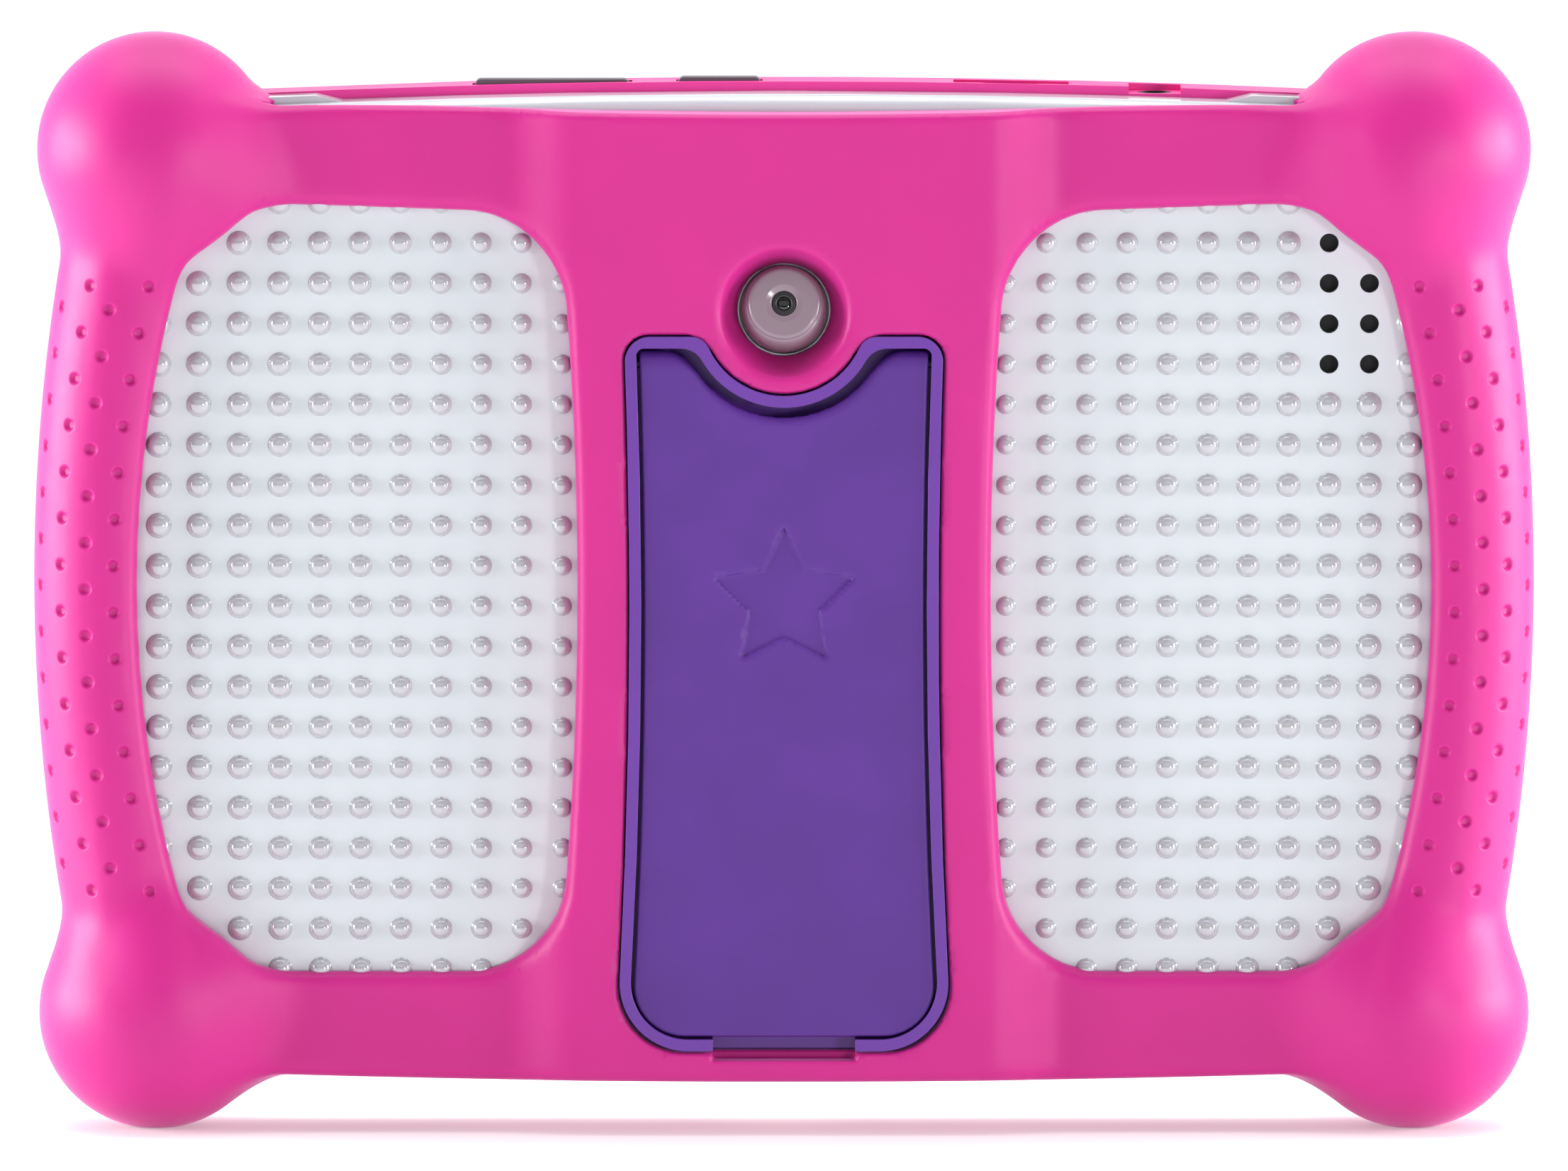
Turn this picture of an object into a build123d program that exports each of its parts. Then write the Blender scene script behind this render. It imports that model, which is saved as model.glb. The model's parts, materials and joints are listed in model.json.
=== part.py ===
"""Kids toy tablet in a silicone bumper with a kickstand.

Millimetres. X runs to the right seen from the back, Y from the back to the screen, and Z up.
Every shape is drawn about the middle height of the tablet and lifted onto the floor when it
is written, so heights here are counted from the tablet's middle.
"""
import os
from math import asin, degrees, sqrt

from build123d import *

# ---- driving dimensions ------------------------------------------------------------------
BALL_X, BALL_Z, BALL_R = 96.4, 66.5, 18.05   # corner balls of the bumper
FOOT_FLAT = 0.4                              # the lower balls are flattened by this much
MID_Z = BALL_Z + BALL_R - FOOT_FLAT          # middle height above the floor

TABLET_HALF, TABLET_HALF_END = 103.5, 100.3  # half width at the middle and at the corners
TABLET_TOP, TABLET_TOP_END = 76.9, 74.1      # arched top edge, at the middle and the corners
TABLET_LOW, TABLET_LOW_END = -74.3, -72.2    # arched lower edge
TABLET_CORNER = 18.0
COVER_BACK, SPLIT_Y, FRONT_Y = -8.0, 0.0, 8.0   # back of the cover, shell joint, front
COVER_INSET = 1.4                            # the cover is smaller than the bezel all round
CAVITY_INSET = 3.4
SHELL_WALL, COVER_EDGE_R = 1.8, 2.4
BEZEL_FACE = 1.6

PAD_Y, BEAM_Y, LIP_Y = -14.5, -10.5, 10.5    # pad, beams and front lip of the bumper
PAD_HALF, PAD_FOOT_HALF = 31.3, 43.0
GRIP_CENTRE, GRIP_HALF, GRIP_DEPTH = 104.0, 11.05, 12.0
GRIP_SWEEP_R, GRIP_END_Z = 300.8, 58.0       # the grips bow outwards and end in the balls
LIP_HALF, LIP_RISE, LIP_CORNER = 95.0, 66.5, 14.0   # opening in the front lip
BUMPER_LOW, BEAD_LOW, BEAD_Y = -76.3, -78.2, 4.0    # lower edge, with a bead along the front
OPEN_HALF, OPEN_Z, OPEN_Z_END = 79.0, 73.0, 75.2    # the back wall's top edge between the balls

CAMERA_Z, CAMERA_TILT = 42.6, 15.0              # the camera looks a little upwards
BARREL_FACE_Y = -13.9
HOLE_FACE_R, HOLE_BASE_R = 10.0, 7.6         # conical hole in the pad round the barrel

FRAME_TOP, FRAME_LOW = 39.0, -71.0           # outline of the stand's tray
FRAME_HALF_TOP, FRAME_HALF_MID, FRAME_HALF_LOW = 24.45, 23.72, 25.8
FRAME_THROAT_R = 12.7                        # the tray bends round the camera hole
FRAME_RIM, FRAME_RIM_Y = 1.8, -14.8
TRAY_BACK, TRAY_FRONT = -9.0, -8.0           # floor plate of the tray
FLANGE = 2.5
LEG_GAP, LEG_THROAT_GAP, LEG_RELIEF = 0.42, 1.3, 0.8   # the leg's edge is cut back inside
LEG_Y, LEG_INNER_Y, LEG_SKIN = -14.2, -9.4, 2.2
HINGE_Y, HINGE_R = -12.2, 2.0
HINGE_Z = FRAME_TOP - FRAME_RIM - LEG_GAP - HINGE_R
PIN_R, PIN_CLEARANCE = 0.8, 0.05
SLOT_HALF, SLOT_LOW = 10.9, -72.5             # finger slot under the leg

LENS_HALF_X, LENS_LOW, LENS_TOP, LENS_CORNER = 88.0, -53.0, 55.0, 6.0
LEDGE = 2.0                                  # bezel ledge under the glass
SCREEN_HALF_X, SCREEN_LOW, SCREEN_TOP = 82.5, -49.0, 51.0
BOARD_BACK, BOARD_FRONT = -0.9, 0.3
BOARD_LEFT, BOARD_RIGHT, BOARD_LOW, BOARD_TOP = -74.0, 74.0, 14.0, 71.5

KEY_Y, KEY_HALF_Y, KEY_PROUD = 2.6, 1.3, 0.6      # keys in the top rail
FLANGE_T = 0.9
POWER_X, POWER_HALF = -9.9, 6.3
ROCKER_X, ROCKER_HALF, ROCKER_SWITCH = -35.5, 11.8, 8.0
KEY_CLEAR = 0.3
KEY_RIM = 1.2                                     # flange beyond the key's ends
SWITCH_TRAVEL = 0.6

JACK_X, JACK_Y, JACK_R, JACK_LENGTH = 56.8, 3.1, 1.8, 14.0
NOTCH_HALF, NOTCH_DEPTH = 4.0, 1.0
USB_X, USB_HALF, USB_DEPTH = 34.8, 8.85, 3.2
USB_LOW_Y, USB_HIGH_Y = 0.6, 5.6
JACK_NOSE_R = 2.6

HOME_Z, HOME_R, HOME_PROUD = -60.2, 5.6, 0.6
FRONT_CAMERA_Z = 61.2

DOME_PITCH_X, DOME_PITCH_Z = 6.18, 6.21           # grid of domes that the speaker holes share
SPEAKER_HOLE_R = 1.45
SPEAKER_COLUMNS = {13: (5, 6, 7, 8), 14: (5, 6, 7)}   # grid column: grid rows with a hole
SPEAKER_X, SPEAKER_Z = 86.5, 43.5

SCREW_SPOTS = [(x, z) for x in (-70.0, -21.5, 21.5, 70.0) for z in (65.8, -66.4)]
SCREW_R, SCREW_HEAD_R, SCREW_HEAD_T, SCREW_LENGTH = 1.1, 2.1, 1.4, 11.0
BOSS_R = 2.8
BOARD_SCREW_SPOTS = [(-70.0, 20.0), (70.0, 20.0), (-14.0, 19.0), (62.0, 56.5)]


def rail_top(x):
    """Height of the arched top rail at x."""
    return TABLET_TOP - (TABLET_TOP - TABLET_TOP_END) * (x / TABLET_HALF_END) ** 2


def ceiling(x):
    """Underside of the bezel's top wall at x."""
    return rail_top(x) - CAVITY_INSET - 0.02


POWER_FOOT = ceiling(POWER_X - POWER_HALF - KEY_RIM) - FLANGE_T
ROCKER_FOOT = ceiling(ROCKER_X - ROCKER_HALF - KEY_RIM) - FLANGE_T - 0.5
USB_FLOOR_Z = rail_top(USB_X) - USB_DEPTH
JACK_MOUTH_Z = rail_top(JACK_X) - NOTCH_DEPTH


# ---- small helpers -----------------------------------------------------------------------
def sum_of(shapes):
    """All the shapes as one."""
    total = None
    for shape in shapes:
        total = shape if total is None else total + shape
    return total


def block(x, y, z):
    """A box between two limits on each axis."""
    size = (x[1] - x[0], y[1] - y[0], z[1] - z[0])
    centre = ((x[0] + x[1]) / 2, (y[0] + y[1]) / 2, (z[0] + z[1]) / 2)
    return Pos(*centre) * Box(*size)


def slab(face, back, front):
    """Extrude a face drawn in X and Z from y = back to y = front."""
    return Pos(0, front, 0) * extrude(Plane.XZ * face, amount=front - back)


def disc(x, z, radius, back, front):
    """A round bar along Y."""
    return Pos(x, (back + front) / 2, z) * Rot(90, 0, 0) * Cylinder(radius, front - back)


def upright(x, y, radius, low, high):
    """A round bar along Z."""
    return Pos(x, y, (low + high) / 2) * Cylinder(radius, high - low)


def crossbar(x0, x1, y, z, radius):
    """A round bar along X."""
    return Pos((x0 + x1) / 2, y, z) * Rot(0, 90, 0) * Cylinder(radius, x1 - x0)


def cone(z, back_r, front_r, back, front):
    """A cone along Y, with its radius at the back and at the front."""
    height = front - back
    return Pos(0, (back + front) / 2, z) * Rot(90, 0, 0) * Cone(front_r, back_r, height)


def near(face, x, z):
    """The vertex of a flat face that is closest to a point."""
    return min(face.vertices(), key=lambda v: (v.X - x) ** 2 + (v.Y - z) ** 2)


def rounded(face, corners):
    """Round a flat face at each (x, z, radius) corner, on both sides of the middle line."""
    for x, z, radius in corners:
        for side in (-1, 1):
            face = fillet(near(face, side * x, z), radius)
    return face


def panel(half_x, low, top, radius):
    """A rectangle about the middle line with round corners."""
    return Pos(0, (low + top) / 2) * RectangleRounded(2 * half_x, top - low, radius)


def arched(half, half_end, top, top_end, low, low_end, radius):
    """A four-sided outline whose sides bow outwards, with round corners."""
    corners = [(-half_end, top_end), (half_end, top_end), (half_end, low_end), (-half_end, low_end)]
    crowns = [(0, top), (half, (top_end + low_end) / 2), (0, low), (-half, (top_end + low_end) / 2)]
    sides = [
        ThreePointArc(corners[i], crowns[i], corners[(i + 1) % 4])
        for i in range(4)
    ]
    face = make_face(sides)
    return fillet(face.vertices(), radius)


def tablet_outline(inset=0.0):
    return arched(
        TABLET_HALF - inset, TABLET_HALF_END - inset,
        TABLET_TOP - inset, TABLET_TOP_END - inset,
        TABLET_LOW + inset, TABLET_LOW_END + inset,
        TABLET_CORNER - inset,
    )


def stand_outline(inset=0.0, throat_inset=None):
    """Outline shared by the stand's tray and leg, set in from the tray's outer edge."""
    throat_r = FRAME_THROAT_R + (inset if throat_inset is None else throat_inset)
    top, low = FRAME_TOP - inset, FRAME_LOW + inset
    half_top, half_low = FRAME_HALF_TOP - inset, FRAME_HALF_LOW - inset
    middle = ((FRAME_TOP + FRAME_LOW) / 2, FRAME_HALF_MID - inset)
    ear = sqrt(throat_r ** 2 - (CAMERA_Z - top) ** 2)
    edges = [
        ThreePointArc((-ear, top), (0, CAMERA_Z - throat_r), (ear, top)),
        Line((ear, top), (half_top, top)),
        ThreePointArc((half_top, top), (middle[1], middle[0]), (half_low, low)),
        Line((half_low, low), (-half_low, low)),
        ThreePointArc((-half_low, low), (-middle[1], middle[0]), (-half_top, top)),
        Line((-half_top, top), (-ear, top)),
    ]
    corners = [
        (ear, top, 2.8 + inset / 2),
        (half_top, top, max(3.8 - 1.45 * inset, 0.8)),
        (half_low, low, 10.5 - inset),
    ]
    return rounded(make_face(edges), corners)


def window_outline(side):
    """One of the bumper's two windows. side is -1 for the left one and 1 for the right one."""
    inner_top, inner_low = (34.6, 58.0), (34.6, -59.6)
    outer_top, outer_low = (80.4, 58.7), (79.6, -59.8)
    bow_top, bow_low = (93.4, 45.2), (93.4, -44.2)

    def at(point):
        return (side * point[0], point[1])

    face = make_face([
        Line(at(inner_top), at(outer_top)),
        Line(at(outer_top), at(bow_top)),
        ThreePointArc(at(bow_top), at((99.1, 0)), at(bow_low)),
        Line(at(bow_low), at(outer_low)),
        Line(at(outer_low), at(inner_low)),
        ThreePointArc(at(inner_low), at((31.65, 0)), at(inner_top)),
    ])
    radii = [
        (inner_top, 15.0), (inner_low, 13.0), (outer_top, 8.0),
        (outer_low, 8.0), (bow_top, 12.0), (bow_low, 12.0),
    ]
    for point, radius in radii:
        face = fillet(near(face, *at(point)), radius)
    return face


def grid_spot(column, row):
    """Centre of a dome in the grid, counted from the middle outwards."""
    return ((column + 0.5) * DOME_PITCH_X, (row + 0.5) * DOME_PITCH_Z)


# ---- silicone bumper ---------------------------------------------------------------------
def grip(side):
    """A side grip: an oval bar bent outwards."""
    section = Pos(GRIP_CENTRE, -1.0) * Ellipse(GRIP_HALF, GRIP_DEPTH)
    axis = Axis((GRIP_CENTRE + GRIP_HALF - GRIP_SWEEP_R, 0, 0), (0, 1, 0))
    half_angle = degrees(asin(GRIP_END_Z / GRIP_SWEEP_R))
    upper = revolve(section.face(), axis, -half_angle)
    lower = revolve(section.face(), axis, half_angle)
    bar = upper + lower
    return bar if side > 0 else mirror(bar, about=Plane.YZ)


def pad():
    """The raised middle, with sloping flanks."""
    section = make_face(Polyline(
        (-PAD_FOOT_HALF, BEAM_Y), (-PAD_HALF, PAD_Y), (PAD_HALF, PAD_Y), (PAD_FOOT_HALF, BEAM_Y),
        (PAD_FOOT_HALF, COVER_BACK), (-PAD_FOOT_HALF, COVER_BACK), close=True,
    ))
    return Pos(0, 0, BUMPER_LOW + 0.3) * extrude(section, amount=148.0)


def open_top():
    """The bumper is open along the top between the balls, for the keys and sockets."""
    face = make_face([
        ThreePointArc((-OPEN_HALF, OPEN_Z_END), (0, OPEN_Z), (OPEN_HALF, OPEN_Z_END)),
        Line((OPEN_HALF, OPEN_Z_END), (OPEN_HALF, 95.0)),
        Line((OPEN_HALF, 95.0), (-OPEN_HALF, 95.0)),
        Line((-OPEN_HALF, 95.0), (-OPEN_HALF, OPEN_Z_END)),
    ])
    return slab(face, -20.0, FRONT_Y)


def bumper():
    body = slab(arched(106.0, 102.5, 75.6, 72.8, BUMPER_LOW, -74.1, 20.0), BEAM_Y, LIP_Y)
    bead = slab(arched(96.0, 92.0, 70.0, 68.0, BEAD_LOW, -76.0, 18.0), BEAD_Y, LIP_Y)
    body = body + bead + pad() + grip(-1) + grip(1)
    for x in (-BALL_X, BALL_X):
        for z in (-BALL_Z, BALL_Z):
            body = body + Pos(x, 0, z) * Rot(0, 0, 90) * Sphere(BALL_R)
    body = body - slab(tablet_outline(COVER_INSET), COVER_BACK, SPLIT_Y)
    body = body - slab(tablet_outline(), SPLIT_Y, FRONT_Y)
    body = body - slab(panel(LIP_HALF, -LIP_RISE, LIP_RISE, LIP_CORNER), FRONT_Y, 30.0)
    body = body - open_top() - shoulder(-1) - shoulder(1)
    for side in (-1, 1):
        body = body - slab(window_outline(side), -30.0, COVER_BACK)
    body = body - cone(CAMERA_Z, HOLE_FACE_R, HOLE_BASE_R, PAD_Y, COVER_BACK)
    body = body - slab(stand_outline(), -30.0, TRAY_BACK)
    body = body - slab(stand_outline(-FLANGE), TRAY_BACK, TRAY_FRONT)
    body = body - block((-SLOT_HALF, SLOT_HALF), (-30.0, -10.8), (SLOT_LOW, FRAME_LOW + 0.6))
    body = body - block((-6.0, 6.0), (1.0, 30.0), (-90.0, TABLET_LOW))
    floor = block((-200, 200), (-50, 50), (-BALL_Z - BALL_R - 5, -MID_Z))
    return body - floor


# ---- kickstand ---------------------------------------------------------------------------
def stand_frame():
    """Tray with a rim, let into the pad and held by a flange behind the silicone."""
    tray = slab(stand_outline(-FLANGE), TRAY_BACK, TRAY_FRONT)
    rim = slab(stand_outline(), FRAME_RIM_Y, TRAY_BACK)
    rim = rim - slab(stand_outline(FRAME_RIM), -20, TRAY_BACK)
    rim = rim - block((-SLOT_HALF, SLOT_HALF), (-20.0, TRAY_BACK - 1.2), (-80.0, -60.0))
    tray = tray + rim
    for side in (-1, 1):
        outer = side * (FRAME_HALF_TOP - 0.45)
        inner = side * (FRAME_HALF_TOP - FRAME_RIM - 2.0)
        tray = tray - crossbar(min(outer, inner), max(outer, inner), HINGE_Y, HINGE_Z, PIN_R)
    return tray


def stand_leg():
    """Hollow flap with two hinge barrels at its ears and a star sunk into its face."""
    inset = FRAME_RIM + LEG_GAP
    outline = stand_outline(inset, FRAME_RIM + LEG_THROAT_GAP)
    inner = stand_outline(inset + 2.0, FRAME_RIM + LEG_THROAT_GAP + 2.0)
    leg = slab(outline, LEG_Y, LEG_INNER_Y)
    leg = leg - slab(inner, LEG_Y + LEG_SKIN, 0)
    above = block((-40, 40), (-20, 0), (HINGE_Z, 60))
    barrel = crossbar(-40, 40, HINGE_Y, HINGE_Z, HINGE_R)
    knuckle = barrel + block((-40, 40), (LEG_Y, HINGE_Y), (HINGE_Z - 3, HINGE_Z))
    ears = slab(outline, LEG_Y, HINGE_Y + HINGE_R) & knuckle
    leg = (leg - above - barrel) + ears
    relief_r = FRAME_THROAT_R + FRAME_RIM + LEG_THROAT_GAP + LEG_RELIEF
    leg = leg - disc(0, CAMERA_Z, relief_r, LEG_Y + 0.9, 0)
    for z in (-50.0, -28.0, 16.0):
        leg = leg + block((-21.0, 21.0), (LEG_Y + 1.0, LEG_INNER_Y - 0.4), (z, z + 1.4))
    for side in (-1, 1):
        bore = (side * 17.0, side * 30.0)
        leg = leg - crossbar(min(bore), max(bore), HINGE_Y, HINGE_Z, PIN_R + PIN_CLEARANCE)
    leg = leg - slab(star(10.5, 5.3, -1.5), LEG_Y - 1, LEG_Y + 0.4)
    return leg


def star(outer_r, inner_r, z):
    """A plain five-pointed star with blunt tips."""
    face = make_face(Polyline(*star_points(outer_r, inner_r), close=True))
    face = fillet(face.vertices(), 1.2)
    return Pos(0, z) * face


def star_points(outer_r, inner_r):
    tips = [Vector(0, outer_r).rotate(Axis.Z, 72 * i) for i in range(5)]
    dents = [Vector(0, inner_r).rotate(Axis.Z, 72 * i + 36) for i in range(5)]
    return [(p.X, p.Y) for pair in zip(tips, dents) for p in pair]


def stand_pins():
    outer = FRAME_HALF_TOP - 0.45
    ends = [(-outer, -18.2), (18.2, outer)]
    return sum_of(crossbar(x0, x1, HINGE_Y, HINGE_Z, PIN_R) for x0, x1 in ends)


# ---- shells ------------------------------------------------------------------------------
def tilted(shape):
    """Tip a shape drawn about the camera's axis so that its nose points a little upwards."""
    pivot = Pos(0, COVER_BACK, CAMERA_Z)
    return pivot * Rot(-CAMERA_TILT, 0, 0) * pivot.inverse() * shape


def camera_barrel():
    """Short tilted cone round the rear camera, with a dished face and a flange inside."""
    nose = tilted(cone(CAMERA_Z, 5.65, 6.7, BARREL_FACE_Y, COVER_BACK + 0.8))
    nose = nose & block((-20, 20), (-30, COVER_BACK + 1.0), (0, 80))
    outer = nose + disc(0, CAMERA_Z, 6.9, COVER_BACK, COVER_BACK + SHELL_WALL)
    outer = outer + disc(0, CAMERA_Z, 8.6, COVER_BACK + SHELL_WALL, COVER_BACK + SHELL_WALL + 0.8)
    bore = disc(0, CAMERA_Z, 4.6, BARREL_FACE_Y + 1.4, 2)
    dish = cone(CAMERA_Z, 2.9, 2.2, BARREL_FACE_Y, BARREL_FACE_Y + 0.5)
    return outer - tilted(bore + dish + disc(0, CAMERA_Z, 1.9, -30, 0)) - rear_camera()


def rear_cover():
    """White back shell, with the barrel's seat, speaker holes and screw seats."""
    shell = slab(tablet_outline(COVER_INSET), COVER_BACK, SPLIT_Y)
    shell = fillet(shell.edges().group_by(Axis.Y)[0], COVER_EDGE_R)
    shell = shell - slab(tablet_outline(CAVITY_INSET), COVER_BACK + SHELL_WALL, SPLIT_Y)
    for x, z in SCREW_SPOTS:
        shell = shell + disc(x, z, BOSS_R, COVER_BACK + SHELL_WALL, -3.0)
        shell = shell - disc(x, z, SCREW_HEAD_R + 0.1, COVER_BACK, COVER_BACK + SCREW_HEAD_T)
        shell = shell - disc(x, z, SCREW_R + 0.1, COVER_BACK, -3.0)
    shell = shell - disc(0, CAMERA_Z, 6.9, COVER_BACK, 0)
    for column, rows in SPEAKER_COLUMNS.items():
        for row in rows:
            x, z = grid_spot(column, row)
            shell = shell - disc(x, z, SPEAKER_HOLE_R, COVER_BACK, 0)
    return shell + shoulder(-1) + shoulder(1)


def shoulder(side):
    """The cover's top edge steps up behind the rail near the balls."""
    start, end, limit = 67.7, 71.7, 78.9
    rise = 0.3
    outline = [
        (start, 72.0), (start, rail_top(start) - COVER_INSET), (end, rail_top(end) - rise),
        (limit, rail_top(limit) - rise), (limit, 72.0),
    ]
    face = make_face(Polyline(*[(side * x, z) for x, z in outline], close=True))
    return slab(face, SPLIT_Y - 5.0, SPLIT_Y)


def front_bezel():
    """Pink front shell: face, thick walls, keyways, sockets and screw bosses."""
    shell = slab(tablet_outline(), SPLIT_Y, FRONT_Y)
    shell = shell - slab(tablet_outline(CAVITY_INSET), SPLIT_Y, FRONT_Y - BEZEL_FACE)
    shell = shell - slab(panel(LENS_HALF_X - LEDGE, LENS_LOW + LEDGE, LENS_TOP - LEDGE, 4.0), 0, 20)
    lens_seat = panel(LENS_HALF_X + 0.15, LENS_LOW - 0.15, LENS_TOP + 0.15, LENS_CORNER)
    shell = shell - slab(lens_seat, 6.7, 20)
    for x, z in SCREW_SPOTS:
        shell = shell + disc(x, z, BOSS_R, -3.0, FRONT_Y - BEZEL_FACE)
        shell = shell - disc(x, z, SCREW_R, -3.0, COVER_BACK + SCREW_HEAD_T + SCREW_LENGTH)
    power = (POWER_X - POWER_HALF - KEY_CLEAR, POWER_X + POWER_HALF + KEY_CLEAR)
    rocker = (ROCKER_X - ROCKER_HALF - 0.45, ROCKER_X + ROCKER_HALF + 0.45)
    key_y = (KEY_Y - KEY_HALF_Y - 0.2, KEY_Y + KEY_HALF_Y + 0.2)
    through = (ceiling(0) - 5, 90.0)
    for span in (power, rocker):
        shell = shell - block(span, key_y, through)
    usb_span = (USB_X - USB_HALF, USB_X + USB_HALF)
    shell = shell - block(usb_span, (USB_LOW_Y, USB_HIGH_Y), (USB_FLOOR_Z, 90))
    shell = shell - block((USB_X - 4.1, USB_X + 4.1), (BOARD_FRONT - 0.1, 3.4), (60, 90))
    shell = shell - block((JACK_X - NOTCH_HALF, JACK_X + NOTCH_HALF), (-1, 5.9), (JACK_MOUTH_Z, 90))
    shell = shell - upright(JACK_X, JACK_Y, JACK_NOSE_R, 60, 90)
    shell = shell - disc(0, HOME_Z, HOME_R + 0.25, 0, 20)
    shell = shell - disc(0, FRONT_CAMERA_Z, 2.6, 0, 20)
    shell = shell - upright(0, 2.2, 0.6, -90, -60)
    return shell


# ---- screen stack ------------------------------------------------------------------------
def touch_lens():
    return slab(panel(LENS_HALF_X, LENS_LOW, LENS_TOP, LENS_CORNER - 0.15), 6.7, 7.8)


def lcd_panel():
    return block((-SCREEN_HALF_X, SCREEN_HALF_X), (4.0, 6.6), (SCREEN_LOW, SCREEN_TOP))


def backlight_tray():
    return block((-SCREEN_HALF_X, SCREEN_HALF_X), (2.7, 4.0), (SCREEN_LOW, SCREEN_TOP))


def chassis():
    """Stiffening plate with a turned edge, lightened by four windows."""
    plate = block((-90.0, 90.0), (1.4, 2.4), (-51.0, 55.0))
    for x in (-60.0, -20.0, 20.0, 60.0):
        plate = plate - block((x - 13, x + 13), (0, 5), (-38.0, -8.0))
    for x in (-90.0, 89.0):
        plate = plate + block((x, x + 1.0), (-2.6, 1.4), (-40.0, 12.0))
    return plate


def lcd_ribbon():
    """Flat cable from the back of the screen over the chassis to the board."""
    path = [(3.0, 51.2), (3.0, 57.0), (1.4, 58.4), (0.95, 60.4)]
    thickness = 0.2
    outline = path + [(y - thickness, z) for y, z in reversed(path)]
    face = make_face(Polyline(*outline, close=True))
    strip = Pos(8.0, 0, 0) * extrude(Plane.YZ * face, amount=20.0)
    return strip + block((7.0, 29.0), (BOARD_FRONT, 1.1), (58.9, 62.4))


# ---- electronics -------------------------------------------------------------------------
def main_board():
    board = block((BOARD_LEFT, BOARD_RIGHT), (BOARD_BACK, BOARD_FRONT), (BOARD_LOW, BOARD_TOP))
    for x, z in SCREW_SPOTS:
        board = board - disc(x, z, BOSS_R + 0.5, -5, 5)
    for x, z in BOARD_SCREW_SPOTS:
        board = board - disc(x, z, 1.0, -5, 5)
    return board


def board_shields():
    """Two pressed cans over the radio and the processor."""
    def can(x0, x1, z0, z1):
        inside = block((x0 + 0.3, x1 - 0.3), (-2.6, BOARD_BACK), (z0 + 0.3, z1 - 0.3))
        return block((x0, x1), (-2.9, BOARD_BACK), (z0, z1)) - inside

    return can(-52.0, -26.0, 30.0, 56.0) + can(14.0, 44.0, 26.0, 56.0)


def board_chips():
    spots = [
        (-39.0, 43.0, 7.0), (29.0, 41.0, 8.0), (58.0, 34.0, 4.0), (-62.0, 50.0, 4.0),
        (-12.0, 30.0, 3.0),
    ]
    depth = (BOARD_BACK - 1.2, BOARD_BACK)
    return sum_of(block((x - r, x + r), depth, (z - r, z + r)) for x, z, r in spots)


def board_screws():
    return sum_of(
        disc(x, z, 1.8, BOARD_BACK - 0.9, BOARD_BACK) + disc(x, z, 1.0, BOARD_BACK, 1.4)
        for x, z in BOARD_SCREW_SPOTS
    )


def battery():
    cell = block((-68.0, 40.0), (-5.8, -0.6), (-58.0, 6.0))
    return fillet(cell.edges().filter_by(Axis.Z), 1.6)


def battery_lead():
    """Plug on the board and two short wires down to the cell."""
    lead = block((-8.0, -2.0), (BOARD_BACK - 2.6, BOARD_BACK), (15.0, 20.0))
    for x in (-6.4, -3.6):
        lead = lead + upright(x, -2.6, 0.6, 6.0, 15.0)
    return lead


def speaker():
    """Oval loudspeaker: frame with a shallow cone."""
    frame = Pos(SPEAKER_X, SPEAKER_Z) * SlotOverall(29.0, 15.0, rotation=90)
    body = slab(frame, -5.2, -2.2)
    return body - slab(Pos(SPEAKER_X, SPEAKER_Z) * SlotOverall(25.0, 11.0, rotation=90), -5.2, -4.4)


def speaker_gasket():
    ring = Pos(SPEAKER_X, SPEAKER_Z) * SlotOverall(29.0, 15.0, rotation=90)
    hole = Pos(SPEAKER_X, SPEAKER_Z) * SlotOverall(25.8, 11.8, rotation=90)
    return slab(ring, -5.9, -5.2) - slab(hole, -6.0, -5.0)


def speaker_mesh():
    return slab(Pos(SPEAKER_X, SPEAKER_Z) * SlotOverall(29.0, 15.0, rotation=90), -6.2, -5.9)


def speaker_leads():
    leads = sum_of(crossbar(72.0, SPEAKER_X - 7.5, -2.9, z, 0.5) for z in (44.0, 46.5))
    plug = block((68.0, 72.0), (-3.6, BOARD_BACK), (42.0, 48.5))
    return leads + plug


def rear_camera():
    base = block((-4.1, 4.1), (-4.8, -2.1), (CAMERA_Z - 4.1, CAMERA_Z + 4.1))
    return tilted(base + disc(0, CAMERA_Z, 3.4, BARREL_FACE_Y + 1.5, -4.8))


def rear_camera_lens():
    """Black ring with a small glass in the barrel's face."""
    return tilted(disc(0, CAMERA_Z, 1.88, BARREL_FACE_Y + 0.4, BARREL_FACE_Y + 1.4))


def front_camera():
    body = block((-3.2, 3.2), (2.8, 5.4), (FRONT_CAMERA_Z - 3.2, FRONT_CAMERA_Z + 3.2))
    return body + disc(0, FRONT_CAMERA_Z, 1.9, 5.4, 6.6)


def front_camera_window():
    return disc(0, FRONT_CAMERA_Z, 2.58, 6.8, 7.85)


def wifi_antenna():
    """Copper strip on a flexible film, stuck inside the cover, with its cable."""
    film = block((-60.0, -34.0), (-6.2, -5.9), (58.5, 63.0))
    cable = Pos(-47.0, -4.35, 60.0) * Rot(90, 0, 0) * Cylinder(0.45, 3.1)
    return film + cable + block((-48.5, -45.5), (-2.8, BOARD_BACK), (58.5, 61.5))


def usb_port():
    """Sheet-metal socket with its tongue."""
    back = BOARD_FRONT
    shell = block((USB_X - 4.0, USB_X + 4.0), (back, back + 2.9), (66.5, USB_FLOOR_Z))
    mouth = block((USB_X - 3.6, USB_X + 3.6), (back + 0.5, back + 2.4), (68.0, USB_FLOOR_Z + 1))
    tongue = block((USB_X - 2.6, USB_X + 2.6), (back + 1.2, back + 1.7), (67.5, USB_FLOOR_Z - 0.6))
    return shell - mouth + tongue


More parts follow.
